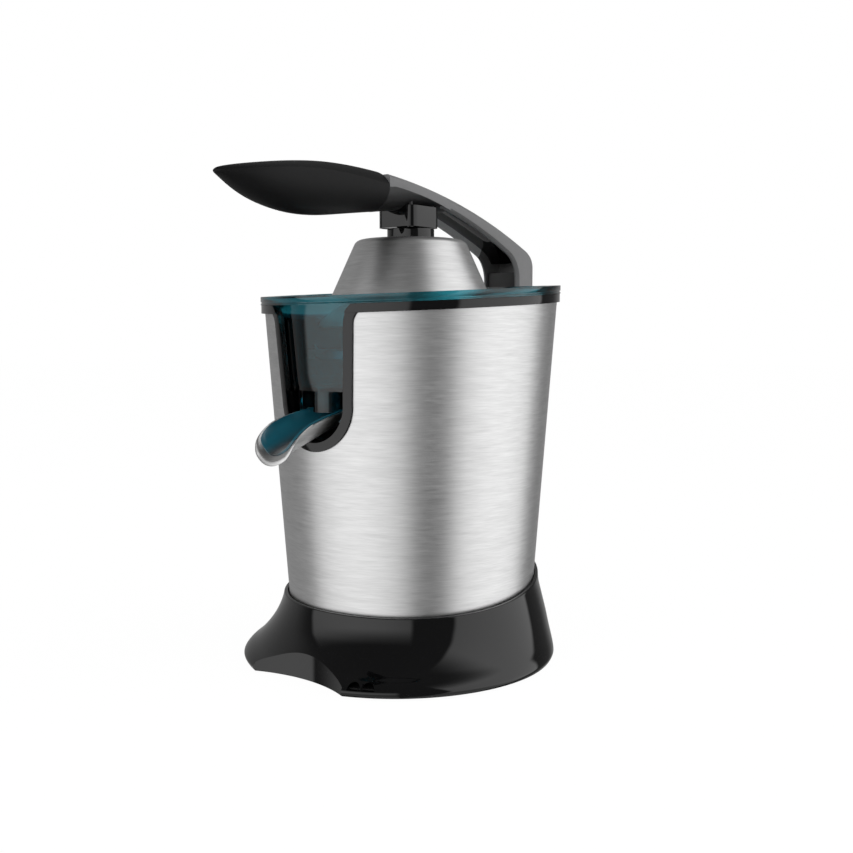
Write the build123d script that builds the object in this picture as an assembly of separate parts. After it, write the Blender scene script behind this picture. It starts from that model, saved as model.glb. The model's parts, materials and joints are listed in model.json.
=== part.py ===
from build123d import *
import math
import os

# Citrus press juicer: millimetres, origin on the body axis at table height,
# +Z up, front (spout and grip) towards -Y, hinge at the back towards +Y.

# Outer body
foot_height = 1.5
sleeve_low_radius = 81.7
sleeve_low_height = 46.6
sleeve_taper = 0.0756
sleeve_wall = 0.8
sleeve_bottom = 38.0
rim_radius = 98.0
rim_top = 239.6
rim_slope = 0.06
rim_band = 5.2
trim_band = 5.3
trim_radius = 97.6
skirt_wall = 2.8
leg_angles = (50, 170, 235, 310)
skirt_edge_radius = 600.0
skirt_edge_low = (-75.0, 41.5)
notch_radius = 98.0
notch_front = -98.0
base_forward = 11.9
arch_bearings = (-63.9, -59.1)
arch_radius = 4.1
arch_level = 5.6

# Front window and spout
bezel_half = 29.6
bezel_top = 226.5
bezel_flare = 10.0
window_half = 24.0
window_top = 232.0
window_flare = 15.5
window_arc_height = 169.9
window_taper = 0.07
pocket_back = -53.0
spout_radius = 17.7
spout_slope = 20.0
spout_floor = (-104.0, 146.0)
spout_pivot = (-76.0, 164.0)
spout_inner_end = -66.0
spout_lip = -126.5
liner_setback = 3.0
lug_inner = 18.6
lug_outer = 21.0

# Bowl, strainer and reamer
bowl_wall = 2.2
bowl_floor = 177.0
chimney_radius = 17.0
chimney_top = 209.0
nozzle_radius = 10.0
nozzle_low = 164.0
strainer_radius = 68.0
strainer_level = 196.0
strainer_slots = 36
reamer_base = 206.0
reamer_tip = 257.0
reamer_radius = 38.0
reamer_ribs = 10

# Press dome and lever
dome_top = 272.5
dome_top_radius = 35.7
dome_bottom = 216.0
dome_spread = 0.452
collar_radius = 15.4
collar_top = 279.8
arm_half = 16.0
arm_wall = 3.0
arm_seam = -38.0
leg_front = 99.3
leg_back = 119.7
hinge = (109.5, 236.0)
hinge_pin_radius = 4.0
hub_half = 15.5
hub_ends = (-17.0, 12.5)
hub_top = 293.5

# Drive
spindle_radius = 5.0
spindle_low = 84.0
hex_flats = 8.6
pressure_angle = 25.0
backlash = 0.3
stage_one = dict(module=1.0, pinion=16, wheel=64, low=96.0, width=10.0)
stage_two = dict(module=1.25, pinion=16, wheel=56, low=110.0, width=10.0)
motor_reach = 42.0
plate_low = 88.0
plate_high = 126.0
plate_thick = 3.0
plate_radius = 80.0
shaft_radius = 3.0
stator_radius = 29.5
rotor_radius = 15.8
stator_low = 30.0
stator_high = 66.0
fan_radius = 22.5

# Worked out from the above
gap = 0.05
ring_low = rim_top - rim_band - trim_band
ring_high = rim_top - rim_band
rim_tilt = math.degrees(math.atan(rim_slope))
idler_x = -stage_two["module"] * (stage_two["pinion"] + stage_two["wheel"]) / 2
idler_span = stage_one["module"] * (stage_one["pinion"] + stage_one["wheel"]) / 2
motor_cosine = (idler_x ** 2 + motor_reach ** 2 - idler_span ** 2) / (2 * idler_x * motor_reach)
motor_bearing = math.degrees(math.acos(motor_cosine))
motor_xy = (motor_reach * math.cos(math.radians(motor_bearing)),
            motor_reach * math.sin(math.radians(motor_bearing)))
turn_to_motor = math.degrees(math.atan2(motor_xy[1], motor_xy[0] - idler_x))
up = (Align.CENTER, Align.CENTER, Align.MIN)


def sleeve_radius(z):
    return sleeve_low_radius + sleeve_taper * (z - sleeve_low_height)


def disc(radius, low, high, x=0.0, y=0.0):
    return Pos(x, y, low) * Cylinder(radius, high - low, align=up)


def tube(outer, inner, low, high, x=0.0, y=0.0):
    return disc(outer, low, high, x, y) - disc(inner, low - 1, high + 1, x, y)


def block(x0, x1, y0, y1, z0, z1):
    middle = Pos((x0 + x1) / 2, (y0 + y1) / 2, (z0 + z1) / 2)
    return middle * Box(x1 - x0, y1 - y0, z1 - z0)


def turned(*points):
    return revolve(Plane.XZ * make_face(Polyline(*points, close=True)), Axis.Z, 360)


def rod_x(radius, half, y, z):
    return Pos(0, y, z) * Rot(0, 90, 0) * Cylinder(radius, 2 * half)


def rod_y(radius, y0, y1, x, z):
    return Pos(x, (y0 + y1) / 2, z) * Rot(90, 0, 0) * Cylinder(radius, y1 - y0)


def hexagon(flats, low, high):
    outline = RegularPolygon(flats / 2, 6, major_radius=False)
    return Pos(0, 0, low) * extrude(outline, high - low)


def cone_layer(inner_offset, outer_offset, low, high):
    rows = [(sleeve_radius(low) + inner_offset, low), (sleeve_radius(low) + outer_offset, low),
            (sleeve_radius(high) + outer_offset, high), (sleeve_radius(high) + inner_offset, high)]
    return turned(*rows)


def cone_core(offset, low, high):
    return turned((0, low), (sleeve_radius(low) + offset, low),
                  (sleeve_radius(high) + offset, high), (0, high))


def tilted(low, high):
    # slab between two planes that rise to the back like the rim
    slab = Pos(0, 0, (low + high) / 2) * Rot(rim_tilt, 0, 0)
    return slab * Box(400, 400, (high - low) * math.cos(math.radians(rim_tilt)))


def window(half, top, reach=(-130.0, -40.0), flare=0.0):
    # U-shaped prism through the front wall: round end at the bottom, sides that open upwards
    c = window_arc_height
    side = top - flare
    wide = half + window_taper * (side - c)
    edges = [ThreePointArc((-half, c), (0, c - half), (half, c)), Line((half, c), (wide, side)),
             Line((-wide, side), (-half, c))]
    if flare:
        edges += [RadiusArc((wide, side), (wide + flare, top), flare),
                  Line((wide + flare, top), (-wide - flare, top)),
                  RadiusArc((-wide - flare, top), (-wide, side), flare)]
    else:
        edges += [Line((wide, side), (-wide, side))]
    face = make_face(Curve() + edges)
    return Pos(0, reach[1], 0) * extrude(Plane.XZ * face, reach[1] - reach[0])


def ring_of(shape, count, start=0.0):
    return [Rot(0, 0, start + 360 / count * i) * shape for i in range(count)]


# Base

def skirt_form(inset, extra=0.0):
    # level, forward offset and radius of each round section: a low band, then the flare
    band = [(foot_height - extra, base_forward, 101.3), (5.0, base_forward, 102.3)]
    flare = [band[1], (8.5, 11.6, 101.7), (13.0, 9.6, 99.6), (20.0, 4.8, 95.0), (28.0, 1.1, 91.1),
             (38.0, -1.0, 87.1), (50.0, -0.4, 84.4), (73.0 + extra, 0.0, 85.4)]
    rings = [[Pos(0, -forward, z) * Circle(radius - inset) for z, forward, radius in rows]
             for rows in (band, flare)]
    return loft(rings[0], ruled=True) + loft(rings[1])


def base_skirt():
    outer = skirt_form(0)
    body = outer - skirt_form(skirt_wall, 1.0)
    y, z = skirt_edge_low
    crown = rod_x(skirt_edge_radius, 150, y, z + skirt_edge_radius)
    notch_y = notch_front - notch_radius
    notch = disc(notch_radius, 0, 60, 0, notch_y)
    notch_wall = tube(notch_radius + skirt_wall, notch_radius, foot_height, 60, 0, notch_y)
    ledge = tube(90.5, 74, 30, 33)
    body = (body - notch) + (outer & notch_wall) + (outer & ledge)
    cord_hole = rod_y(6.0 + gap, 80, 110, 0, 20)
    return body - crown - cone_core(gap, 33.5, 80) - cord_hole - base_arches()


def base_arches():
    # two small half-round openings beside the notch
    hole = Pos(100, 0, arch_level) * Rot(0, 90, 0) * Cylinder(arch_radius, 16)
    hole -= block(80, 120, -10, 10, 0, arch_level)
    return [Pos(0, -base_forward, 0) * Rot(0, 0, a) * hole for a in arch_bearings]


def base_plate():
    notch = disc(notch_radius + skirt_wall + 0.4, 0, 10, 0, notch_front - notch_radius)
    plate = disc(98.3, 3.5, 6, 0, -base_forward) - notch
    for row in range(-2, 3):
        middle = 44 + 7 * row
        plate -= block(-30, 30, middle - 1.5, middle + 1.5, 0, 10)
    for x, y in leg_places():
        plate -= disc(2.2, 0, 10, x, y)
    return plate


def leg_places():
    return [(66 * math.cos(math.radians(a)), 66 * math.sin(math.radians(a)))
            for a in leg_angles]


def rubber_feet():
    places = [(-66, 44), (66, 44), (-72, -56), (72, -56)]
    return [disc(9, 0, 3.5, x, y) for x, y in places] + [disc(14, 0, 3.5)]


def base_screws():
    return [disc(4, 2.2, 3.5, x, y) + disc(1.9, 3.5, 16, x, y) for x, y in leg_places()]


def cord_grommet():
    body = rod_y(6.0, 82, 93.6, 0, 20) + rod_y(8.5, 82, 85.6, 0, 20) + rod_y(8.5, 91.0, 93.6, 0, 20)
    return body - rod_y(3.7, 80, 100, 0, 20)


# Body shells

def steel_sleeve():
    shell = cone_layer(-sleeve_wall, 0, sleeve_bottom, 250) & tilted(0 - 60, ring_low)
    shell -= window(bezel_half - 2, 260)
    for z in bracket_screw_levels:
        shell -= rod_y(2.3, 60, 130, 0, z)
    return shell


def front_trim():
    hoop = tube(trim_radius, 92.9, 200, 260) & tilted(ring_low, ring_high)
    face = cone_layer(gap, 1.4, 130, 240) & window(bezel_half, bezel_top, flare=bezel_flare)
    face &= tilted(-60, ring_low + 0.5)
    cheek = cone_layer(-3.2, 1.4, 130, 240) + cone_layer(-7.6, 1.4, 130, 176.5)
    cheek &= window(bezel_half - 2.2, window_top)
    cheek &= tilted(-60, ring_high)
    return hoop + face + cheek - window(window_half, window_top, flare=window_flare)


def inner_housing():
    skin = -sleeve_wall - 0.15
    wall = cone_layer(skin - 2.2, skin, 36, 250) & tilted(-60, ring_low)
    flange = tube(80.4, 74, 33, 36) + tube(sleeve_radius(36) + skin, 76, 36, 38)
    shelf = cone_layer(-12, skin, 84, plate_low)
    deck = cone_core(skin, 173.4, 176.9)
    legs = [disc(5, 6, 34, x, y) + block(x - 3, x + 3, y - 3, y + 3, 6, 33) for x, y in leg_places()]
    spokes = [Rot(0, 0, a) * block(62, 77, -4, 4, 30, 36) for a in leg_angles]
    spokes = [s - tube(100, 73.8, 29, 33) for s in spokes]
    boss = disc(13.6, 158, 182)
    body = wall + flange + shelf + deck + boss + legs + spokes
    recess = window(window_half + 0.6, 190, reach=(-77.6, pocket_back))
    lining = window(window_half + 2.6, 176.9, reach=(-77.6, pocket_back + 2))
    body = body - window(bezel_half - 2, 260, reach=(-130, -77.6)) + lining - recess
    body -= disc(8 + gap, 150, 190)
    for x, y in leg_places():
        body -= disc(1.9 + gap, 0, 17, x, y)
    for z in bracket_screw_levels:
        body -= rod_y(2.3, 60, 130, 0, z)
    return body


def spindle_bush():
    return tube(8.0, spindle_radius + 0.04, 160, 180)


def shaft_seal():
    return tube(7.9, spindle_radius + 0.06, 180.1, 184) + tube(11.5, 5.06, 182.1, 184.5)


# Bowl and what it carries

def juice_bowl():
    skin = -sleeve_wall - 0.15 - 2.2 - 0.6
    wall = cone_layer(skin - bowl_wall, skin, bowl_floor, 250) & tilted(-60, rim_top)
    floor = cone_core(skin, bowl_floor, bowl_floor + 2.4)
    flange = tube(rim_radius, 89.5, 215, 260) & tilted(ring_high + gap, rim_top)
    stack = disc(chimney_radius + 3, bowl_floor, strainer_level) + disc(chimney_radius, 180, chimney_top)
    y, z = spout_pivot
    nozzle = disc(nozzle_radius, nozzle_low, bowl_floor + 1, 0, y)
    body = wall + floor + flange + stack + nozzle
    for side in (-1, 1):
        x = sorted((side * lug_inner, side * lug_outer))
        body += block(x[0], x[1], y - 5, y + 6, z - 4.5, bowl_floor + 1)
    body -= disc(chimney_radius - 2.4, 150, chimney_top + 1)
    body -= disc(nozzle_radius - 1.8, 150, 190, 0, y)
    return body - rod_x(2.0 + gap, 40, y, z)


def spout_pins():
    y, z = spout_pivot
    middle = (lug_outer + 14.0) / 2
    pin = Rot(0, 90, 0) * Cylinder(2.0, lug_outer - 14.0)
    return [Pos(side * middle, y, z) * pin for side in (-1, 1)]


def strainer():
    z = strainer_level
    dish = tube(strainer_radius, chimney_radius + 0.2, z, z + 1.6)
    dish += tube(strainer_radius, strainer_radius - 1.6, z, z + 5)
    dish += tube(chimney_radius + 2.4, chimney_radius + 0.2, z, z + 5)
    slot = block(24, 62, -1.2, 1.2, z - 1, z + 3)
    return dish - ring_of(slot, strainer_slots)


# Spout

def trough(outer, inner):
    y, z = spout_floor
    lean = math.radians(spout_slope)
    axis_y = y - spout_radius * math.sin(lean)
    axis_z = z + spout_radius * math.cos(lean)
    place = Pos(0, axis_y, axis_z) * Rot(90 + spout_slope, 0, 0)
    return place * (Cylinder(outer, 160) - Cylinder(inner, 162))


def spout_side():
    # side outline: the top edge falls away in a curve to the pouring lip
    brim = Spline((spout_inner_end, 167.5), (-89, 163.8), (-105, 159.8), (-114, 155.5), (-121, 149.5),
                  (spout_lip, 137))
    back = Polyline((spout_lip, 137), (spout_lip, 110), (spout_inner_end, 110), (spout_inner_end, 167.5))
    face = make_face(Curve() + [brim, back])
    return extrude(Plane.YZ * face, 30, both=True)


def spout_shell():
    y, z = spout_pivot
    shell = trough(spout_radius, spout_radius - 1.0)
    ears = []
    for side in (-1, 1):
        x = sorted((side * 12.5, side * (lug_inner - 0.6)))
        ears.append(block(x[0], x[1], y - 5, y + 5, z - 5, z + 3) - trough(spout_radius - 0.9, 0.1))
    body = (shell & spout_side()) + ears
    return body - rod_x(2.0 + 0.06, 40, y, z)


def spout_liner():
    y, z = spout_pivot
    body = trough(spout_radius - 1.0 - gap, spout_radius - 2.4) & spout_side()
    body &= block(-30, 30, spout_lip + liner_setback, 0, 100, 200)
    return body - rod_x(2.3, 40, y, z)


# Hinge at the back

bracket_screw_levels = (156.0, 168.0)


def hinge_bracket():
    y, z = hinge
    half = arm_half - arm_wall - 0.6
    front = leg_front + 2.0
    back = leg_back - arm_wall - 1.2
    side = make_face(Polyline((80, 150), (103, 150), (back, 205), (back, z + 20), (front, z + 20),
                              (front, 222), (80, 222), close=True))
    body = extrude(Plane.YZ * side, half, both=True)
    outer = [e for e in body.edges() if abs(e.center().X) > half - 0.1 and e.center().Y > 105
             and 160 < e.center().Z < z]
    body = fillet(outer, 3.0) + rod_x(8.2, half, y, z)
    body -= cone_core(gap, 100, 250)
    body -= rod_x(hinge_pin_radius, 30, y, z)
    for level in bracket_screw_levels:
        body -= rod_y(2.0, 80, sleeve_radius(level) + 12, 0, level)
    return body


def bracket_screws():
    made = []
    for level in bracket_screw_levels:
        face = sleeve_radius(level) - 3.55
        made.append(rod_y(3.6, face - 2.4, face, 0, level) + rod_y(1.95, face, face + 14, 0, level))
    return made


def hinge_pin():
    y, z = hinge
    return rod_x(hinge_pin_radius, arm_half - 0.4, y, z)


# Lever

def bend(point, heading, upright):
    # where a round elbow that leaves the point on this heading runs into the upright
    reach = (upright - point.X) / heading.X
    return (upright, point.Y + heading.Y * reach - reach)


def arm_side(inset=0.0, open_by=0.0):
    # side outline of the arm: two long arcs, an elbow and a round lower end on the hinge
    y, z = hinge
    seam = arm_seam - open_by
    front = leg_front - open_by
    back = leg_back - inset
    top = ThreePointArc((seam, 310.1 - inset), (36.6, 297.2 - inset), (112, 271.1 - inset))
    elbow = TangentArc(top @ 1, bend(top @ 1, top % 1, back), tangent=top % 1)
    end = ThreePointArc((back, z), ((back + front) / 2, z - (back - front) / 2), (front, z))
    low = ThreePointArc((88, 268.3 - open_by), (34, 288.9 - open_by), (seam, 303.2 - open_by))
    inner_elbow = TangentArc(bend(low @ 0, -(low % 0), front), low @ 0, tangent=(0, 1))
    pieces = [top, elbow, Line(elbow @ 1, end @ 0), end, Line(end @ 1, inner_elbow @ 0), inner_elbow,
              low, Line(low @ 1, top @ 0)]
    return make_face(Curve() + pieces)


def arm_belly():
    # rounded underside that runs from the grip to the hub: place, edge, lowest point, top inside the web
    rows = [(arm_seam, 303.2, 287.8, 308), (-12, 300.4, 290.8, 306), (22, 292.8, 292, 299)]
    sections = []
    for y, edge, low, top in rows:
        under = ThreePointArc((-arm_half, edge), (0, low), (arm_half, edge))
        over = Polyline((arm_half, edge), (arm_half, top), (-arm_half, top), (-arm_half, edge))
        sections.append(across(y) * make_face(Curve() + [under, over]))
    return loft(sections) - tongue(gap)


def across(y):
    return Plane((0, y, 0), x_dir=(1, 0, 0), z_dir=(0, -1, 0))


def tongue(play):
    # the stub of the grip that plugs into the arm
    return block(-10 - play, 10 + play, arm_seam - 1, arm_seam + 14 + play, 297 - play, 303 + play)


def lever_arm():
    y, z = hinge
    solid = extrude(Plane.YZ * arm_side(), arm_half, both=True)
    flank = [e for e in solid.edges() if abs(abs(e.center().X) - arm_half) < 0.01]
    crest = [e for e in flank if e.center().Z > 292 and e.length > 20]
    heel = [e for e in flank if e.center().Y > y + 2 and e.center().Z > z + 4]
    solid = chamfer(crest + heel, 2.0)
    inner = arm_half - arm_wall
    solid -= extrude(Plane.YZ * arm_side(arm_wall, 1.0), inner, both=True)
    solid -= block(-inner, inner, leg_front - 5, leg_back + 5, 200, z + 11)
    return solid + arm_belly() - rod_x(hinge_pin_radius + 0.06, 30, y, z) - arm_screws()


def grip_section(y, half, crease, top, bottom):
    upper = ThreePointArc((-half, crease), (0, top), (half, crease))
    lower = ThreePointArc((half, crease), (0, bottom), (-half, crease))
    return across(y) * make_face(Curve() + [upper, lower])


def lever_grip():
    # place along the lever, half width, crease height, top and belly
    rows = [(arm_seam, 16.2, 303.5, 313.2, 287.8), (-52, 17.4, 304.6, 313.9, 286),
            (-68, 18.6, 305.6, 314.3, 283.9), (-86, 19.6, 306.2, 313.8, 281.4),
            (-104, 20.2, 305.9, 312, 280.7), (-120, 20.2, 304.8, 309.8, 282.6),
            (-136, 17.8, 303, 307.1, 286.6), (-148, 13, 301.6, 304.9, 292.4),
            (-157, 6.8, 300.4, 302.9, 297.5), (-162.6, 2.8, 300, 301.2, 298.6)]
    return loft([grip_section(*row) for row in rows]) + tongue(0)


def arm_hub():
    y0, y1 = hub_ends
    body = block(-hub_half, hub_half, y0, y1, collar_top + 0.4, hub_top)
    body = fillet(body.edges().filter_by(Axis.Z), 6) - lever_arm()
    body -= disc(9.0 + gap, 270, 286) + disc(11.4, 285.5, 289)
    return body - arm_screws() - [disc(2.6, 270, 283.6, x, y) for x, y, top in arm_screw_places()]


def arm_screw_places():
    # each screw runs up through the hub into the web, which slopes down to the back
    return [(x, y, top) for x in (-11, 11) for y, top in ((-13, 306.5), (8.5, 302.4))]


def arm_screws():
    return [disc(2.6, 281.5, 283.6, x, y) + disc(1.5, 283.6, top, x, y) for x, y, top in arm_screw_places()]


def dome_line(z, inset=0.0):
    return dome_top_radius + dome_spread * (dome_top - z) - inset


def dome_solid(inset, low, fillet_radius):
    top = dome_top - inset
    slant = inset * math.hypot(1, dome_spread)
    shape = turned((0, low), (dome_line(low, slant), low), (dome_line(top, slant), top), (0, top))
    rim = shape.edges().group_by(Axis.Z)[-1]
    return fillet(rim, fillet_radius)


def press_dome():
    shell = dome_solid(0, dome_bottom, 5.0) - dome_solid(1.2, dome_bottom - 1, 4.0)
    return shell - disc(6.2, 250, 290)


def dome_liner():
    cup = dome_solid(1.2 + gap, dome_bottom + 1.5, 3.9) - dome_solid(3.6, dome_bottom - 1, 2.5)
    rib = block(26, 70, -1, 1, dome_bottom + 6, dome_top - 6)
    inner = dome_solid(3.4, dome_bottom - 1, 2.5) - dome_solid(6.0, dome_bottom - 2, 2.0)
    cup += [r & inner for r in ring_of(rib, 12)]
    return cup - disc(6.2, 250, 290)


def dome_collar():
    body = disc(collar_radius, dome_top, collar_top) + disc(9.0, 279, 286.4) + disc(11.0, 286, 288.6)
    stem = disc(6.1, 266.4, 273)
    nut = disc(11, 263.9, 268.8) - disc(6.1, 260, 266.4)
    return body + stem + (nut & disc(30, 263.9, dome_top - 3.7))


# Drive train

def gear(spec, teeth, phase):
    # involute flanks drawn as short chords, thinned for backlash
    m = spec["module"]
    pitch = m * teeth / 2
    base = pitch * math.cos(math.radians(pressure_angle))
    tip = pitch + 0.95 * m
    root = pitch - 1.2 * m
    half = math.pi / (2 * teeth) - backlash / (2 * pitch)
    inv = math.tan(math.radians(pressure_angle)) - math.radians(pressure_angle)
    outline = []
    for i in range(teeth):
        middle = math.radians(phase) + 2 * math.pi * i / teeth
        rise = []
        for step in range(5):
            r = max(base, root) + (tip - max(base, root)) * step / 4
            a = math.acos(min(1.0, base / r))
            rise.append((r, half + inv - (math.tan(a) - a)))
        rise = [(root, rise[0][1])] + rise if root < base else rise
        outline += [polar(r, middle - a) for r, a in rise]
        outline += [polar(r, middle + a) for r, a in reversed(rise)]
    face = make_face(Polyline(*outline, close=True))
    return Pos(0, 0, spec["low"]) * extrude(face, spec["width"])


def polar(r, a):
    return (r * math.cos(a), r * math.sin(a))


def output_gear():
    wheel = gear(stage_two, stage_two["wheel"], 180)
    hub = disc(9, plate_low + plate_thick + 0.5, plate_high - 0.5)
    return wheel + hub - hexagon(hex_flats + 0.2, 80, 130)


def idler_gear():
    wheel = gear(stage_one, stage_one["wheel"], turn_to_motor)
    pinion = gear(stage_two, stage_two["pinion"], 180 / stage_two["pinion"])
    neck = disc(8.4, 105, 110.5) + disc(8.0, 91.6, 97) + disc(8.0, 119.5, 125.4)
    body = wheel + pinion + neck - disc(shaft_radius + 0.05, 80, 130)
    return Pos(idler_x, 0, 0) * body


def idler_axle():
    return disc(shaft_radius, plate_low, plate_high + plate_thick, idler_x, 0)


def motor_pinion():
    teeth = stage_one["pinion"]
    body = gear(stage_one, teeth, turn_to_motor + 180 + 180 / teeth)
    return Pos(*motor_xy, 0) * (body - disc(shaft_radius, 80, 130))


def gear_plate(low, bush):
    plate = disc(plate_radius, low, low + plate_thick)
    for x, y in spacer_places():
        plate -= disc(2.0, low - 1, low + 9, x, y)
    plate -= disc(bush, low - 1, low + 9)
    return plate - disc(shaft_radius, low - 1, low + 9, idler_x, 0)


def spacer_places():
    return [(70 * math.cos(math.radians(a)), 70 * math.sin(math.radians(a)))
            for a in (20, 100, 245, 310)]


def gear_plate_lower():
    plate = gear_plate(plate_low, 8.0) - disc(6.0, 80, 99, *motor_xy)
    for x, y in motor_bolt_places():
        plate -= disc(1.6, 80, 99, x, y)
    return plate


def gear_plate_upper():
    return gear_plate(plate_high, 8.0)


def plate_spacers():
    made = []
    for x, y in spacer_places():
        column = disc(4.5, plate_low + plate_thick, plate_high, x, y)
        made.append(column + disc(2.0, plate_low, plate_high + plate_thick, x, y))
    return made


def plate_bushes():
    made = []
    for low in (plate_low, plate_high):
        made.append(tube(8.0, spindle_radius + 0.05, low, low + plate_thick))
    return made


def drive_spindle():
    shaft = hexagon(hex_flats, spindle_low, 131) + disc(spindle_radius, 130, 214)
    return shaft + hexagon(hex_flats, 213.5, 246)


def spring_collar():
    return tube(9, spindle_radius, 150, 154)


def return_spring():
    return tube(8.6, 6.2, plate_high + plate_thick, 150)


def reamer_cone():
    core = turned((0, 209), (33.5, 209), (29, 222), (13, 250), (5, reamer_tip - 2), (0, reamer_tip - 2))
    limit = turned((0, 207), (reamer_radius, 207), (33.5, 222), (17, 249), (6, reamer_tip), (0, reamer_tip))
    rib = block(0, 60, -1.4, 1.4, 207, 270) & limit
    brim = turned((30, reamer_base), (reamer_radius, reamer_base), (reamer_radius, 208.4), (30, 209.6))
    body = core + brim + ring_of(rib, reamer_ribs)
    body -= turned((0, 200), (31, 200), (31, 209), (26.5, 221), (20, 232), (0, 232))
    body += disc(9, 216, 248) & core
    return body - hexagon(hex_flats + 0.1, 200, 246.3)


# Motor and electrics

def at_motor(shape):
    return Pos(*motor_xy, 0) * shape


def sector(r0, r1, half_angle, low, high, turn):
    reach = 60.0
    wedge = make_face(Polyline((0, 0), polar(reach, -math.radians(half_angle)),
                               (reach, 0), polar(reach, math.radians(half_angle)), close=True))
    wedge = Pos(0, 0, low) * extrude(wedge, high - low)
    return Rot(0, 0, turn) * (wedge & tube(r1, r0, low, high))


def motor_bolt_places():
    x, y = motor_xy
    return [(x, y - 26.5), (x, y + 26.5)]


def stator_core():
    body = tube(stator_radius, 24, stator_low, stator_high)
    body += [sector(rotor_radius + 0.5, 24.5, 35, stator_low, stator_high, t) for t in (0, 180)]
    return at_motor(body) - [disc(1.6, 0, 100, x, y) for x, y in motor_bolt_places()]


def field_coils():
    made = []
    for turn in (0, 180):
        loop = sector(17, 23.8, 62, stator_low - 5, stator_high + 5, turn)
        loop -= sector(16, 25, 35.6, stator_low - 0.4, stator_high + 0.4, turn)
        made.append(at_motor(loop))
    return made


def rotor_core():
    slot = block(9.5, 20, -1.1, 1.1, stator_low - 1, stator_high + 1)
    body = disc(rotor_radius, stator_low, stator_high) - ring_of(slot, 12)
    return at_motor(body - disc(shaft_radius, 0, 100))


def commutator():
    return at_motor(tube(9.5, shaft_radius, 17, 25.5))


def motor_shaft():
    return disc(shaft_radius, 9, 107, *motor_xy)


def cooling_fan():
    hub = tube(8, shaft_radius, 74, 83) + tube(fan_radius, 7, 74, 75.5)
    blade = block(7.5, fan_radius, -0.8, 0.8, 75, 83)
    return at_motor(hub + ring_of(blade, 9))


def motor_bracket():
    plate = disc(stator_radius, 12, 15) - disc(6, 10, 20)
    body = at_motor(plate)
    for x, y in motor_bolt_places():
        body += disc(2.7, 15, stator_low, x, y)
        body -= disc(1.6, 0, 40, x, y)
    return body


def motor_bolts():
    return [disc(3, 9.5, 12, x, y) + disc(1.6, 12, plate_low + plate_thick, x, y)
            for x, y in motor_bolt_places()]


def motor_stand_offs():
    return [tube(2.7, 1.6, stator_high, plate_low, x, y) for x, y in motor_bolt_places()]


def motor_bushes():
    return [at_motor(tube(6, shaft_radius + 0.04, low, low + 3)) for low in (12, plate_low)]


def brush_holders():
    holder = block(9.7, 24, -3, 3, 18.5, 24.6) + block(13, 17, -3, 3, 15, 19)
    return [at_motor(Rot(0, 0, t) * holder) for t in (0, 180)]


def micro_switch():
    body = block(-5, 9, -16, 6, 58, 80) - disc(2.6, 70, 90)
    tabs = [block(1, 1.8, y - 2, y + 2, 50, 58) for y in (-12, -5, 2)]
    return body + tabs + block(6, 9, -16, 6, 80, plate_low)


def switch_plunger():
    return disc(2.5, 74, spindle_low)


def suppressor_capacitor():
    return block(56, 70, -26, -6, 6, 30)


def terminal_block():
    body = block(38, 62, 8, 22, 6, 20)
    return body - [disc(2, 14, 30, x, 15) for x in (44, 50, 56)]


nodes = [base_skirt, base_plate, rubber_feet, base_screws, cord_grommet, steel_sleeve, front_trim,
         inner_housing, spindle_bush, shaft_seal, juice_bowl, spout_pins, strainer, spout_shell,
         spout_liner, hinge_bracket, bracket_screws, hinge_pin, lever_arm, lever_grip, arm_hub,
         arm_screws, press_dome, dome_liner, dome_collar, output_gear, idler_gear, idler_axle,
         motor_pinion, gear_plate_lower, gear_plate_upper, plate_spacers, plate_bushes, drive_spindle,
         spring_collar, return_spring, reamer_cone, stator_core, field_coils, rotor_core, commutator,
         motor_shaft, cooling_fan, motor_bracket, motor_bolts, motor_stand_offs, motor_bushes,
         brush_holders, micro_switch, switch_plunger, suppressor_capacitor, terminal_block]

os.makedirs("parts", exist_ok=True)
for make in nodes:
    made = make()
    shape = Compound(children=[s for m in made for s in m.solids()]) if isinstance(made, list) else made
    export_step(shape, f"parts/{make.__name__}.step")
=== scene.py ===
import json
import math
import bmesh
import bpy
from mathutils import Matrix, Vector


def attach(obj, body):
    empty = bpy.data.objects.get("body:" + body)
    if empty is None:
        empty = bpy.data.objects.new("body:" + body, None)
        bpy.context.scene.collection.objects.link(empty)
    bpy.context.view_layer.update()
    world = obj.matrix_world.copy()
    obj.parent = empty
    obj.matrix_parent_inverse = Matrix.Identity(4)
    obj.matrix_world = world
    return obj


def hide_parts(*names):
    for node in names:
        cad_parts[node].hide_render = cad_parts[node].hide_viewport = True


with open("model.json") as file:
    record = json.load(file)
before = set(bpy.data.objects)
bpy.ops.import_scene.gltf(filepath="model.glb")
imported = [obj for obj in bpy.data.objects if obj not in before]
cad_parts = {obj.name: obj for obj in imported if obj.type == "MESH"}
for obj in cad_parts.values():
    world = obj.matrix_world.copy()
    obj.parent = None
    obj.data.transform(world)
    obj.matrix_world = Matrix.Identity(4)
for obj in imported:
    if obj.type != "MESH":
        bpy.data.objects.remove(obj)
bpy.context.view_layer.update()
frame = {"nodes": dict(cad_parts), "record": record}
scene = bpy.context.scene
mm = 0.001
print("frame loaded:", len(frame["nodes"]), "nodes")


# colours are written as sRGB hex and turned to linear here
def hexColour(text):
    values = [int(text[i:i + 2], 16) / 255 for i in (1, 3, 5)]
    linear = [v / 12.92 if v <= 0.04045 else ((v + 0.055) / 1.055) ** 2.4 for v in values]
    return (*linear, 1.0)


# adds one node, sets its values and links its inputs
def addNode(tree, kind, values=None, links=None, **settings):
    node = tree.nodes.new(kind)
    for name, value in settings.items():
        setattr(node, name, value)
    for key, value in (values or {}).items():
        node.inputs[key].default_value = value
    for key, socket in (links or {}).items():
        tree.links.new(socket, node.inputs[key])
    return node


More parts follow.
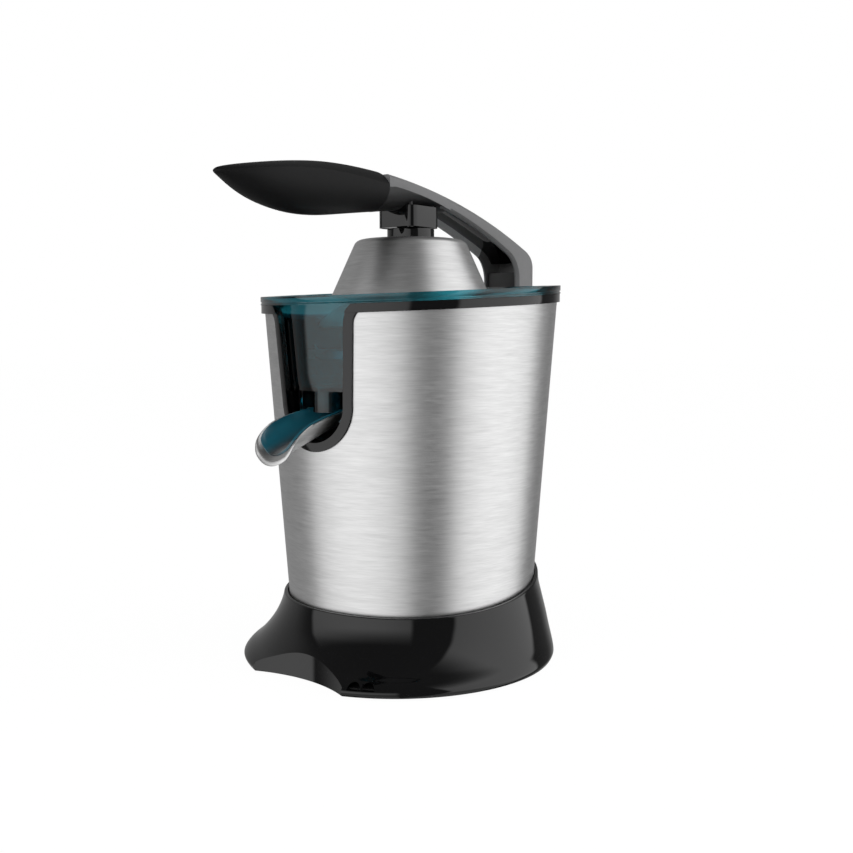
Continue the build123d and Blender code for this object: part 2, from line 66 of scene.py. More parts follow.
def newMaterial(name, values):
    made = bpy.data.materials.new(name)
    made.use_nodes = True
    tree = made.node_tree
    tree.nodes.clear()
    shader = addNode(tree, "ShaderNodeBsdfPrincipled", values)
    addNode(tree, "ShaderNodeOutputMaterial", links={"Surface": shader.outputs[0]})
    place = addNode(tree, "ShaderNodeTexCoord").outputs["Object"]
    return made, tree, shader, place


# noise whose grain has the given length in x, y and z, in millimetres
def grain(tree, place, sizes, detail=2.0):
    scaled = addNode(tree, "ShaderNodeMapping", {"Scale": [1 / (s * mm) for s in sizes]}, {"Vector": place})
    return addNode(tree, "ShaderNodeTexNoise", {"Scale": 1.0, "Detail": detail},
                   {"Vector": scaled.outputs[0]}).outputs["Fac"]


# noise keeps mostly between 0.3 and 0.7, so that range is stretched over the wanted one
def spread(tree, fac, low, high):
    return addNode(tree, "ShaderNodeMapRange", {1: 0.3, 2: 0.7, 3: low, 4: high}, {0: fac}).outputs[0]


def blendColours(tree, fac, first, second):
    return addNode(tree, "ShaderNodeMix", {6: hexColour(first), 7: hexColour(second)}, {0: fac},
                   data_type="RGBA").outputs[2]


def bumpFrom(tree, shader, height, depth):
    bump = addNode(tree, "ShaderNodeBump", {"Strength": 1.0, "Distance": depth * mm}, {"Height": height})
    tree.links.new(bump.outputs[0], shader.inputs["Normal"])


# stainless steel, brushed round the body: light bands with fine level streaks across them.
# Real brush lines lie about 0.1 mm apart; these are 0.5 mm apart so that they show.
steelLook = {"light": "#dadada", "dark": "#c2c2c2", "line": 0.5, "run": 9.0, "smear": 2.0, "smearRun": 22.5,
             "smearShare": 0.4, "rough": (0.35, 0.41), "depth": 0.004}


def brushedSteel(name):
    made, tree, shader, place = newMaterial(name, {"Metallic": 1.0})
    run, smearRun, share = steelLook["run"], steelLook["smearRun"], steelLook["smearShare"]
    fine = grain(tree, place, (run, run, steelLook["line"]), 3.0)
    smear = grain(tree, place, (smearRun, smearRun, steelLook["smear"]), 1.0)
    broad = addNode(tree, "ShaderNodeMath", {1: share}, {0: smear}, operation="MULTIPLY").outputs[0]
    tone = addNode(tree, "ShaderNodeMath", {1: 1 - share}, {0: fine, 2: broad},
                   operation="MULTIPLY_ADD").outputs[0]
    colour = blendColours(tree, spread(tree, tone, 0, 1), steelLook["dark"], steelLook["light"])
    tree.links.new(colour, shader.inputs["Base Color"])
    tree.links.new(spread(tree, fine, *steelLook["rough"]), shader.inputs["Roughness"])
    bumpFrom(tree, shader, fine, steelLook["depth"])
    return made


# ABS moulded in a polished tool: near-black with clean reflections and a faint flow ripple
glossLook = {"light": "#0b0b0c", "dark": "#070708", "ripple": 30.0, "rough": (0.03, 0.05), "depth": 0.002}


def moulded(name, look, values=None, tint=None):
    made, tree, shader, place = newMaterial(name, values or {})
    size = look["ripple"]
    ripple = grain(tree, place, (size, size, size))
    if tint:
        colour = tint(tree, place)
    else:
        colour = blendColours(tree, spread(tree, ripple, 0, 1), look["dark"], look["light"])
    tree.links.new(colour, shader.inputs["Base Color"])
    tree.links.new(spread(tree, ripple, *look["rough"]), shader.inputs["Roughness"])
    bumpFrom(tree, shader, ripple, look["depth"])
    return made


# ABS with a spark-eroded skin: dull black, fine grain
satinLook = {"light": "#222223", "dark": "#151516", "ripple": 0.9, "rough": (0.42, 0.55), "depth": 0.02}
# soft-touch lacquer over ABS: deep matte black with a velvety fall-off and a fine grain
softLook = {"light": "#111112", "dark": "#0b0b0c", "ripple": 0.8, "rough": (0.5, 0.62), "depth": 0.01}
# painted die-cast aluminium of the arm: even mid grey, silky sheen
armLook = {"light": "#7f7f80", "dark": "#7b7b7c", "ripple": 2.5, "rough": (0.36, 0.42), "depth": 0.002}
# pale, dull paint inside the channel of the arm: a painted highlight standing in for the light its inner walls
# catch
paintedLightLook = {"light": "#e6e7e8", "dark": "#dcddde", "ripple": 1.5, "rough": (0.45, 0.55), "depth": 0.01}
# styrene-acrylonitrile tinted teal: clear, deep blue-green where it is thick
tealLook = {"light": "#2f97a6", "dark": "#1f7f8f", "ripple": 22.0, "rough": (0.03, 0.08), "depth": 0.006}
# the same plastic, opaque, in the spout; its colour holds a painted reflection: slate along its floor, turning
# blue up its sides
linerLook = {"middle": "#3b4145", "side": "#1f5f70", "reach": (1.0, 10.0), "ripple": 16.0, "rough": (0.1, 0.18),
             "depth": 0.01}
# moulded rubber of the feet: near black and dull
rubberLook = {"light": "#1b1b1b", "dark": "#111111", "ripple": 1.6, "rough": (0.7, 0.85), "depth": 0.05}
# zinc plate on steel: cool grey with a soft shine
zincLook = {"light": "#b9bbbd", "dark": "#8f9194", "ripple": 3.0, "rough": (0.25, 0.4), "depth": 0.01}
# sintered bronze of the bushes: warm brown metal, finely pitted
bronzeLook = {"light": "#b08a4f", "dark": "#8a6834", "ripple": 1.0, "rough": (0.4, 0.55), "depth": 0.02}
# natural nylon of the gears: milky and waxy
nylonLook = {"light": "#e4e0d6", "dark": "#d5d0c4", "ripple": 6.0, "rough": (0.4, 0.5), "depth": 0.01}
# stamped silicon iron: dark grey metal, slightly dull
ironLook = {"light": "#6a6a6c", "dark": "#4a4a4c", "ripple": 1.2, "rough": (0.45, 0.6), "depth": 0.03}
# enamelled copper wire: red-brown with a varnish shine
copperLook = {"light": "#b5672f", "dark": "#8a4519", "ripple": 0.9, "rough": (0.25, 0.4), "depth": 0.08}


# painted reflection: slate along the floor of the trough, blending to blue up its sides by the distance from
# its middle
def linerPaintedReflection(tree, place):
    across = addNode(tree, "ShaderNodeSeparateXYZ", links={0: place}).outputs["X"]
    aside = addNode(tree, "ShaderNodeMath", links={0: across}, operation="ABSOLUTE").outputs[0]
    near, far = (v * mm for v in linerLook["reach"])
    fade = addNode(tree, "ShaderNodeMapRange", {1: near, 2: far, 3: 0.0, 4: 1.0}, {0: aside},
                   interpolation_type="SMOOTHSTEP").outputs[0]
    return blendColours(tree, fade, linerLook["middle"], linerLook["side"])


finishes = {
    "brushed_steel": brushedSteel("brushedStainless"),
    "gloss_black": moulded("polishedBlackAbs", glossLook),
    # real matte black of the moulded parts, also laid on the downward belly of the arm as a dark painted shade
    "matte_black": moulded("texturedBlackAbsAndShadedBelly", satinLook),
    "soft_grip": moulded("softTouchLacquer", softLook, {"Specular IOR Level": 0.22}),
    "lever_grey": moulded("paintedDieCast", armLook),
    # pale finish standing in for light: the painted highlight on the inner walls of the arm's channel
    "paintedLight": moulded("paintedLightPale", paintedLightLook),
    "teal_plastic": moulded("tintedClearSan", tealLook, {"IOR": 1.57, "Transmission Weight": 1.0}),
    "teal_liner": moulded("tintedGlossSan", linerLook, {"IOR": 1.57}, linerPaintedReflection),
    "foot_rubber": moulded("mouldedRubber", rubberLook),
    "zinc_steel": moulded("zincPlatedSteel", zincLook, {"Metallic": 1.0}),
    "bronze": moulded("sinteredBronze", bronzeLook, {"Metallic": 1.0}),
    "gear_nylon": moulded("naturalNylon", nylonLook),
    "laminated_iron": moulded("siliconIron", ironLook, {"Metallic": 0.8}),
    "copper": moulded("enamelledCopper", copperLook, {"Metallic": 0.9}),
}
for part in frame["record"]["subparts"]:
    skin = frame["nodes"][part["node"]].data.materials
    skin.clear()
    skin.append(finishes[part["material_slot"]])
frame["nodes"]["arm_screws"].data.materials[0] = finishes["matte_black"]  # blackened, they sit under the arm
print("materials set:", len(finishes))


# puts a finished mesh on its body, standing for the CAD nodes it is made from
def addPiece(name, bm, body, slotName, nodes=(), angle=32):
    mesh = bpy.data.meshes.new(name)
    bm.to_mesh(mesh)
    bm.free()
    mesh.materials.append(finishes[slotName])
    mesh.shade_smooth()
    mesh.set_sharp_from_angle(angle=math.radians(angle))
    piece = bpy.data.objects.new(name, mesh)
    scene.collection.objects.link(piece)
    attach(piece, body)
    if nodes:
        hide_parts(*nodes)
    return piece


def roundEdges(bm, width, angle=30, segments=3):
    sharp = [e for e in bm.edges if e.is_manifold and e.calc_face_angle() > math.radians(angle)]
    bmesh.ops.bevel(bm, geom=sharp, offset=width * mm, affect="EDGES", segments=segments, profile=0.5,
                    material=-1, clamp_overlap=True)


# joins the loose triangles of a CAD node into clean faces, ready for edge rounding; level faces can be left
# as they are, where a thin ring would not fill well as one face
def solidCopy(node, flat=0.6, keepLevel=False):
    bm = bmesh.new()
    bm.from_mesh(frame["nodes"][node].data)
    bmesh.ops.remove_doubles(bm, verts=bm.verts, dist=0.002 * mm)
    bm.normal_update()
    edges = [e for e in bm.edges if not (keepLevel and all(abs(f.normal.z) > 0.9 for f in e.link_faces))]
    bmesh.ops.dissolve_limit(bm, angle_limit=math.radians(flat), verts=bm.verts, edges=edges)
    return bm


# adds edges where a plane passes through the whole mesh
def cutThrough(bm, spot, normal):
    bmesh.ops.bisect_plane(bm, geom=bm.verts[:] + bm.edges[:] + bm.faces[:], dist=0.0001 * mm, plane_co=spot,
                           plane_no=normal)


# turns a closed profile of (radius, height) points round the body axis
def turnProfile(points, steps=144):
    bm = bmesh.new()
    verts = [bm.verts.new((r * mm, 0, z * mm)) for r, z in points]
    edges = [bm.edges.new(pair) for pair in zip(verts, verts[1:] + verts[:1])]
    bmesh.ops.spin(bm, geom=verts + edges, cent=(0, 0, 0), axis=(0, 0, 1), angle=2 * math.pi, steps=steps,
                   use_merge=True)
    bmesh.ops.remove_doubles(bm, verts=bm.verts, dist=0.001 * mm)
    bmesh.ops.recalc_face_normals(bm, faces=bm.faces)
    return bm


# soft-touch paddle: place along the lever, half width, crease height, top and belly, in mm
grip = {"rows": [(-38, 16.2, 303.5, 313.1, 287.8), (-39, 16.3, 303.6, 313.2, 287.7),
                 (-52, 17.4, 304.6, 313.9, 286), (-68, 18.6, 305.6, 314.2, 283.9),
                 (-86, 19.6, 306.2, 313.8, 281.4), (-104, 20.2, 305.9, 312, 280.8),
                 (-120, 20.1, 304.8, 309.8, 282.6), (-136, 17.8, 303, 307.1, 286.6),
                 (-148, 13, 301.6, 304.9, 292.4), (-157, 6.8, 300.4, 302.9, 297.2),
                 (-162.4, 2.4, 300, 301.2, 298.6)],
        "around": 28, "levels": 2, "sideCrease": 0.75, "endCrease": 0.95}


def archHeight(x, half, rise):
    radius = (half * half + rise * rise) / (2 * rise)
    return math.sqrt(max(0.0, radius * radius - x * x)) - (radius - rise)


def buildGrip():
    bm = bmesh.new()
    turn = bm.verts.layers.float.new("turn")
    ring = bmesh.ops.create_circle(bm, segments=grip["around"], radius=1.0)["verts"]
    for vert in ring:
        vert[turn] = math.atan2(vert.co.y, vert.co.x)
    edges = bm.edges[:]
    for index, (place, half, crease, top, belly) in enumerate(grip["rows"]):
        if index:
            made = bmesh.ops.extrude_edge_only(bm, edges=edges)["geom"]
            ring = [g for g in made if isinstance(g, bmesh.types.BMVert)]
            edges = [g for g in made if isinstance(g, bmesh.types.BMEdge) and all(v in ring for v in g.verts)]
        for vert in ring:
            x, up = half * math.cos(vert[turn]), math.sin(vert[turn])
            lift = archHeight(x, half, top - crease) if up > 0 else (crease - belly) * up
            vert.co = Vector((x, place, crease + lift)) * mm
    bmesh.ops.holes_fill(bm, edges=bm.edges, sides=grip["around"])
    bmesh.ops.recalc_face_normals(bm, faces=bm.faces)
    sharp = bm.edges.layers.float.new("crease_edge")
    for edge in bm.edges:
        along = abs(edge.verts[0].co.y - edge.verts[1].co.y) > 0.2 * mm
        if along and all(abs(math.sin(v[turn])) < 0.01 for v in edge.verts):
            edge[sharp] = grip["sideCrease"]
        elif all(abs(v.co.y - grip["rows"][0][0] * mm) < 0.1 * mm for v in edge.verts):
            edge[sharp] = grip["endCrease"]
    piece = addPiece("softGrip", bm, "lever", "soft_grip", ["lever_grip"], 180)
    smooth = piece.modifiers.new("smooth", "SUBSURF")
    smooth.levels = smooth.render_levels = grip["levels"]


buildGrip()
print("grip built")


# brushed press dome: a spun steel cup with a rolled shoulder, in mm; the setback is how far the rolling
# reaches along each face for its radius
dome = {"top": 272.5, "bottom": 216.0, "topRadius": 35.7, "spread": 0.452, "wall": 1.2, "shoulder": 5.0,
        "setback": 0.66, "hole": 6.2, "hem": 0.45, "segments": 8}


def buildDome():
    top, bottom, wall = dome["top"], dome["bottom"], dome["wall"]
    slant = wall * math.hypot(1, dome["spread"])
    low = dome["topRadius"] + dome["spread"] * (top - bottom)
    inner = dome["topRadius"] + dome["spread"] * wall - slant
    bm = turnProfile([(dome["hole"], top), (dome["topRadius"], top), (low, bottom), (low - slant, bottom),
                      (inner, top - wall), (dome["hole"], top - wall)])
    setback, radius = dome["setback"], dome["shoulder"]
    rims = [(top, radius * setback), (top - wall, (radius - wall) * setback), (bottom, dome["hem"])]
    for height, offset in rims:
        rim = [e for e in bm.edges if all(abs(v.co.z - height * mm) < 0.01 * mm for v in e.verts)
               and e.verts[0].co.xy.length > 2 * dome["hole"] * mm and e.calc_face_angle() > 0.5]
        bmesh.ops.bevel(bm, geom=rim, offset=offset * mm, affect="EDGES", segments=dome["segments"],
                        profile=0.5, material=-1)
    addPiece("pressDome", bm, "dome", "brushed_steel", ["press_dome"])


# the arm is painted grey outside; the inner walls of its channel as far as the elbow carry a pale painted
# highlight, and its rounded belly before the hub a dark painted shade where it faces down away from the light,
# in mm; the turn is the slope at which a face counts as belly
arm = {"edge": 0.7, "inner": 13.0, "hubEnd": 13.0, "shadedBellyEnd": 24.0, "shadedBellyLevel": 280.0, "shadedBellyTurn": -0.12,
       "paintedLightEnd": (90.0, 266.0), "paintedLightLean": -32}


def buildArm():
    bm = solidCopy("lever_arm")
    roundEdges(bm, arm["edge"])
    lean = math.radians(arm["paintedLightLean"])
    stop, along = Vector((0, *arm["paintedLightEnd"])) * mm, Vector((0, math.cos(lean), math.sin(lean)))
    cutThrough(bm, stop, along)
    bm.normal_update()
    # inner channel walls before the elbow take the pale painted highlight; downward faces of the belly take the
    # dark painted shade
    for face in bm.faces:
        middle = face.calc_center_median()
        x, y, z = (v / mm for v in middle)
        wall = abs(face.normal.x) > 0.9 and abs(abs(x) - arm["inner"]) < 0.4 and face.normal.x * x < 0
        if wall and (middle - stop).dot(along) < 0:
            face.material_index = 1
        elif z > arm["shadedBellyLevel"] and face.normal.z < arm["shadedBellyTurn"]:
            if y < arm["hubEnd"] or (y < arm["shadedBellyEnd"] and abs(x) < arm["inner"]):
                face.material_index = 2
    piece = addPiece("leverArm", bm, "lever", "lever_grey", ["lever_arm"])
    # second finish: the pale painted highlight; third: the dark painted shade of the belly
    for name in ("paintedLight", "matte_black"):
        piece.data.materials.append(finishes[name])


buildArm()
buildDome()
# moulded and cast pieces keep their CAD form, with the small edge radius of their tool
softened = {
    "hubBlock": ("arm_hub", "lever", "gloss_black", 0.6),
    "domeCollar": ("dome_collar", "dome", "gloss_black", 0.4),
    "hingeBlock": ("hinge_bracket", "housing", "matte_black", 0.6),
    "bezelHoop": ("front_trim", "housing", "gloss_black", 0.5),
}
for name, (node, body, slotName, width) in softened.items():
    rounded = solidCopy(node)
    roundEdges(rounded, width)
    addPiece(name, rounded, body, slotName, [node])
addPiece("steelSleeve", solidCopy("steel_sleeve", 0.05), "housing", "brushed_steel", ["steel_sleeve"])
print("edges rounded:", len(softened))


# smooth run through (level, value) pairs
def curveAt(pairs, level):
    slopes = []
    for i in range(len(pairs)):
        before, after = pairs[max(i - 1, 0)], pairs[min(i + 1, len(pairs) - 1)]
        slopes.append((after[1] - before[1]) / (after[0] - before[0]))
    i = max(0, min(len(pairs) - 2, sum(1 for p in pairs if p[0] <= level) - 1))
    (x0, y0), (x1, y1) = pairs[i], pairs[i + 1]
    span = x1 - x0
    t = (level - x0) / span
    return ((1 + 2 * t) * (1 - t) ** 2 * y0 + t * (1 - t) ** 2 * span * slopes[i]
            + t * t * (3 - 2 * t) * y1 + t * t * (t - 1) * span * slopes[i + 1])


# halves the range until the two ends meet where the test changes
def meetingPoint(inside, low, high):
    for _ in range(40):
        middle = (low + high) / 2
        if inside(middle):
            low = middle
        else:
            high = middle
    return low


# flared base: level with radius and forward offset of its round section, the bowed crown, the notch for a
# glass, a level that lies between the two and the small openings beside the notch, in mm
base = {"radius": [(1.5, 101.0), (3.2, 102.0), (5, 102.35), (8.5, 100.8), (13, 97.4), (20, 93.4), (28, 90.0),
                   (38, 86.8), (50, 84.6), (66, 84.9)],
        "forward": [(1.5, 11.9), (5, 11.9), (8.5, 10.1), (13, 6.1), (20, 2.2), (28, -0.6), (38, -1.8),
                    (50, -1.0), (66, 0)],
        "foot": 1.5, "crown": (-75, 41.5, 600), "notch": (-196, 98), "middle": 35, "wall": 2.4, "edge": 0.5,
        "around": 240, "notchSteps": 40, "rows": (30, 14),
        "arches": (-63.9, -59.1), "archReach": 101, "archRadius": 4.1, "archLevel": 5.6, "archSides": 10}


def basePoint(turn, z, inset):
    radius, forward = curveAt(base["radius"], z) - inset, curveAt(base["forward"], z)
    return Vector((radius * math.cos(turn), radius * math.sin(turn) - forward, z))


def belowCrown(turn, z, inset):
    place, low, bow = base["crown"]
    return z < low + (basePoint(turn, z, inset).y - place) ** 2 / (2 * bow)


def inNotch(turn, z, inset):
    place, radius = base["notch"]
    spot = basePoint(turn, z, inset)
    return math.hypot(spot.x, spot.y - place) < radius + inset


# columns of points from the crown down to the foot, in the notch down its wall; the inset gives the inside.
# Outside the notch the rows split at the level of the ridge just inside its corner
def baseColumns(bm, inset):
    foot, middle, peak = base["foot"], base["middle"], base["radius"][-1][0]
    inside, rest = base["notchSteps"], base["around"] - base["notchSteps"]
    high, low = base["rows"]
    corner = meetingPoint(lambda a: inNotch(a, foot, inset), -math.pi / 2, 0)
    front = corner + math.pi / 2
    turns = [-math.pi / 2 - front * math.cos(math.pi * i / inside) for i in range(inside)]
    turns += [corner + (2 * math.pi - 2 * front) * i / rest for i in range(rest)]
    columns = []
    for number, turn in enumerate(turns):
        top = meetingPoint(lambda z: belowCrown(turn, z, inset), middle, peak)
        probe = turn if 0 < number < inside else corner - 0.0005
        ridge = meetingPoint(lambda z: inNotch(probe, z, inset), foot, middle)
        points = [basePoint(turn, top + (ridge - top) * i / high, inset) for i in range(high + 1)]
        for i in range(1, low + 1):
            spot = basePoint(turn, ridge + (foot - ridge) * i / low, inset)
            points.append(spot if probe != turn else Vector((points[high].x, points[high].y, spot.z)))
        columns.append([bm.verts.new(p * mm) for p in points])
    return columns


# trims both skins along the sides of a half-round opening, takes out what lies inside and joins the two edges
def cutArch(bm, bearing):
    turn = math.radians(bearing)
    outward = Vector((math.cos(turn), math.sin(turn), 0))
    aside = Vector((-math.sin(turn), math.cos(turn), 0))
    centre = (outward * base["archReach"] + Vector((0, -base["forward"][0][1], base["archLevel"]))) * mm
    count, radius = base["archSides"], base["archRadius"] * mm
    planes = [(centre, Vector((0, 0, -1)))]
    for i in range(count):
        angle = math.pi * (i + 0.5) / count
        normal = aside * math.cos(angle) + Vector((0, 0, math.sin(angle)))
        planes.append((centre + normal * radius * math.cos(math.pi / 2 / count), normal))
    for spot, normal in planes:
        near = [f for f in bm.faces if (f.calc_center_median() - centre).length < 3 * radius]
        geom = near + list({e for f in near for e in f.edges}) + list({v for f in near for v in f.verts})
        bmesh.ops.bisect_plane(bm, geom=geom, dist=0.001 * mm, plane_co=spot, plane_no=normal)
    inside = [f for f in bm.faces if (f.calc_center_median() - centre).length < 2 * radius
              and all((f.calc_center_median() - spot).dot(normal) < 0 for spot, normal in planes)]
    bmesh.ops.delete(bm, geom=inside, context="FACES")
    bmesh.ops.bridge_loops(bm, edges=[e for e in bm.edges if e.is_boundary])


def buildBase():
    bm = bmesh.new()
    outer, inner = [baseColumns(bm, inset) for inset in (0.0, base["wall"])]
    for i in range(base["around"]):
        for one, two in ((outer[i - 1], outer[i]), (inner[i - 1], inner[i])):
            for k in range(sum(base["rows"])):
                bm.faces.new((one[k], one[k + 1], two[k + 1], two[k]))
        for end in (0, -1):
            bm.faces.new((outer[i - 1][end], inner[i - 1][end], inner[i][end], outer[i][end]))
    bmesh.ops.recalc_face_normals(bm, faces=bm.faces)
    crown = [e for e in bm.edges if min(v.co.z for v in e.verts) > base["middle"] * mm
             and e.calc_face_angle() > 1]
    bmesh.ops.bevel(bm, geom=crown, offset=base["edge"] * mm, affect="EDGES", segments=3, profile=0.5,
                    material=-1)
    for bearing in base["arches"]:
        cutArch(bm, bearing)
    bmesh.ops.recalc_face_normals(bm, faces=bm.faces)
    addPiece("flaredBase", bm, "housing", "gloss_black", ["base_skirt"], 38)


buildBase()
print("base built")


# drip spout: trough radius, its slope, a point on its axis, the falling brim (y, z), the rolled lip and the
# ears on the pivot, in mm
spout = {"radius": 17.7, "slope": 20, "axis": (0, -110.05, 162.63), "back": -66,
         "brim": [(-126.5, 137), (-124, 143.8), (-121, 149.5), (-114, 155.5), (-105, 159.8), (-89, 163.8),
                  (-66, 167.5)],
         "waist": -106, "tip": -127, "lip": 3.2, "lipTurns": (0.6, 1.4), "lipBends": 5, "wall": 1.0,
         "linerWall": 1.3, "linerGap": 0.06, "linerShort": 0.7, "edge": 0.3, "steps": 32, "rows": 14,
         "mostTurn": 2.0, "earCentre": (15.25, -76, 161.4), "earSize": (5.5, 10, 6)}
spoutLean = math.radians(spout["slope"])
spoutAlong = Vector((0, -math.cos(spoutLean), -math.sin(spoutLean)))
spoutOver = Vector((0, -math.sin(spoutLean), math.cos(spoutLean)))


def underBrim(rim, reach):
    spot = rim + spoutAlong * reach
    return spot.z < curveAt(spout["brim"], spot.y)


# start and end of the trough wall along its axis, at one turn from its floor
def wallEnds(rim):
    reaches = [(rim.y - y) / math.cos(spoutLean) for y in (spout["back"], spout["waist"], spout["tip"])]
    start = reaches[0]
    if not underBrim(rim, start):
        start = meetingPoint(lambda r: underBrim(rim, r), reaches[1], start)
    return start, meetingPoint(lambda r: underBrim(rim, r), reaches[1], reaches[2])


def troughPoint(radius, turn):
    outward = Vector((math.sin(turn), 0, 0)) - spoutOver * math.cos(turn)
    return outward, Vector(spout["axis"]) + outward * radius


def troughHeight(radius, turn):
    rim = troughPoint(radius, turn)[1]
    return (rim + spoutAlong * ((rim.y - spout["waist"]) / math.cos(spoutLean))).z


# one skin of the trough, from side to side; the lining stops short of the lip, the shell rolls over into it,
# with a little run that keeps the points apart where there is no roll
def buildTrough(radius, short=0.0):
    bm = bmesh.new()
    lip, steps, count = spout["lip"], spout["steps"], spout["rows"]
    near, far = spout["lipTurns"]
    side = curveAt(spout["brim"], spout["waist"])
    highest = meetingPoint(lambda t: troughHeight(radius, t) < side, 0, spout["mostTurn"]) - 0.002
    bends = [math.pi / 2 * i / spout["lipBends"] for i in range(1, spout["lipBends"] + 1)]
    rows = []
    for number in range(-steps, steps + 1):
        turn = highest * math.sin(math.pi / 2 * number / steps)
        outward, rim = troughPoint(radius, turn)
        start, end = wallEnds(rim)
        fall = min(1.0, max(0.0, (far - abs(turn)) / (far - near)))
        roll = lip * fall * fall * (3 - 2 * fall)
        end = max(start + 0.3, end - (short + lip) * fall)
        row = [rim + spoutAlong * (start + (end - start) * i / count) for i in range(count + 1)]
        if not short:
            row += [row[count] + spoutAlong * (roll * math.sin(b) + 0.02 * b)
                    + outward * roll * (1 - math.cos(b)) for b in bends]
        rows.append([bm.verts.new(v * mm) for v in row])
    for one, two in zip(rows, rows[1:]):
        for i in range(len(one) - 1):
            bm.faces.new((one[i], one[i + 1], two[i + 1], two[i]))
    bmesh.ops.remove_doubles(bm, verts=bm.verts, dist=0.005 * mm)
    return bm


# gives a skin of the trough its wall, inwards from its outer side
def thicken(bm, wall):
    middle = Vector(spout["axis"]) * mm
    bm.normal_update()
    face = min(bm.faces, key=lambda f: f.calc_center_median().z)
    if face.normal.dot(face.calc_center_median() - middle) < 0:
        bmesh.ops.reverse_faces(bm, faces=bm.faces)
    bmesh.ops.solidify(bm, geom=bm.faces[:], thickness=wall * mm)
    bmesh.ops.recalc_face_normals(bm, faces=bm.faces)
    roundEdges(bm, spout["edge"], 50, 2)


def buildSpout():
    shell = buildTrough(spout["radius"])
    thicken(shell, spout["wall"])
    trough = addPiece("spoutTrough", shell, "spout", "brushed_steel", ["spout_shell"], 40)
    lining = buildTrough(spout["radius"] - spout["wall"] - spout["linerGap"], spout["linerShort"])
    thicken(lining, spout["linerWall"])
    x, y, z = spout["earCentre"]
    size = Matrix.Diagonal([*(v * mm for v in spout["earSize"]), 1])
    for side in (-1, 1):
        spot = Matrix.Translation(Vector((side * x, y, z)) * mm)
        bmesh.ops.create_cube(lining, size=1.0, matrix=spot @ size)
    inside = addPiece("spoutLining", lining, "spout", "teal_liner", ["spout_liner"], 40)
    for piece in (trough, inside):
        piece.visible_glossy = False  # keeps its mirror image out of the flare of the base below


buildSpout()
print("spout built")


# black gloss lining in the channel of the arm: (y, z) of its underside, half width and thickness, in mm
armLining = {"path": [(13.0, 299.7), (24, 296.9), (36, 293.4), (48, 289.6), (60, 285.6), (72, 281.1),
                      (84, 276.6), (95, 272.0), (102, 267.6), (106, 262.6)],
             "half": 12.9, "thick": 0.8, "edge": 0.3}


def buildArmLining():
    bm = bmesh.new()
    half, path = armLining["half"] * mm, armLining["path"]
    ends = [bm.verts.new((side * half, path[0][0] * mm, path[0][1] * mm)) for side in (-1, 1)]
    edge = [bm.edges.new(ends)]
    for y, z in path[1:]:
        made = bmesh.ops.extrude_edge_only(bm, edges=edge)["geom"]
        ends = [g for g in made if isinstance(g, bmesh.types.BMVert)]
        edge = [g for g in made if isinstance(g, bmesh.types.BMEdge) and all(v in ends for v in g.verts)]
        for vert in ends:
            vert.co.y, vert.co.z = y * mm, z * mm
    bm.normal_update()
    if sum(f.normal.z for f in bm.faces) > 0:
        bmesh.ops.reverse_faces(bm, faces=bm.faces)
    bmesh.ops.solidify(bm, geom=bm.faces[:], thickness=armLining["thick"] * mm)
    bmesh.ops.recalc_face_normals(bm, faces=bm.faces)
    roundEdges(bm, armLining["edge"], 50, 2)
    addPiece("armLining", bm, "lever", "gloss_black", (), 50)


buildArmLining()


# bowl with a fine groove round its rim, cut along planes that rise to the back with the rim, in mm
rimGroove = {"top": 239.6, "slope": 0.06, "levels": (3.2, 3.4, 4.2, 4.4), "depth": 0.5, "radius": 97.0,
             "edge": 0.3}


def buildBowl():
    bm = solidCopy("juice_bowl", 0.2, keepLevel=True)
    roundEdges(bm, rimGroove["edge"], 40, 2)
    normal = Vector((0, -rimGroove["slope"], 1)).normalized()
    for level in rimGroove["levels"]:
        cutThrough(bm, (0, 0, (rimGroove["top"] - level) * mm), normal)
    high, low = rimGroove["levels"][1:3]
    for vert in bm.verts:
        level = rimGroove["top"] - (vert.co.z / mm - rimGroove["slope"] * vert.co.y / mm)
        reach = vert.co.xy.length
        if reach > rimGroove["radius"] * mm and high - 0.05 < level < low + 0.05:
            vert.co.xy *= (reach - rimGroove["depth"] * mm) / reach
    addPiece("juiceBowl", bm, "housing", "teal_plastic", ["juice_bowl"], 35)


buildBowl()
print("arm lining and bowl built")


# studio: white to the camera; a low soft box on the left, a tall one on the right and a dim one behind light
# everything else. Bearing, half width, edge, top and fade are in degrees, sideShare is the level at the sides
studio = {"base": 0.12, "under": (-55, -20, 0.3), "boxes": [
    {"bearing": -97, "half": 47, "edge": 2.5, "top": 46, "fade": 26, "level": 1.3, "sideShare": 0.6},
    {"bearing": 27, "half": 40, "edge": 2.5, "top": 78, "fade": 35, "level": 1.35, "sideShare": 0.8},
    {"bearing": 150, "half": 52, "edge": 12, "top": 60, "fade": 30, "level": 0.2, "sideShare": 1.0}]}


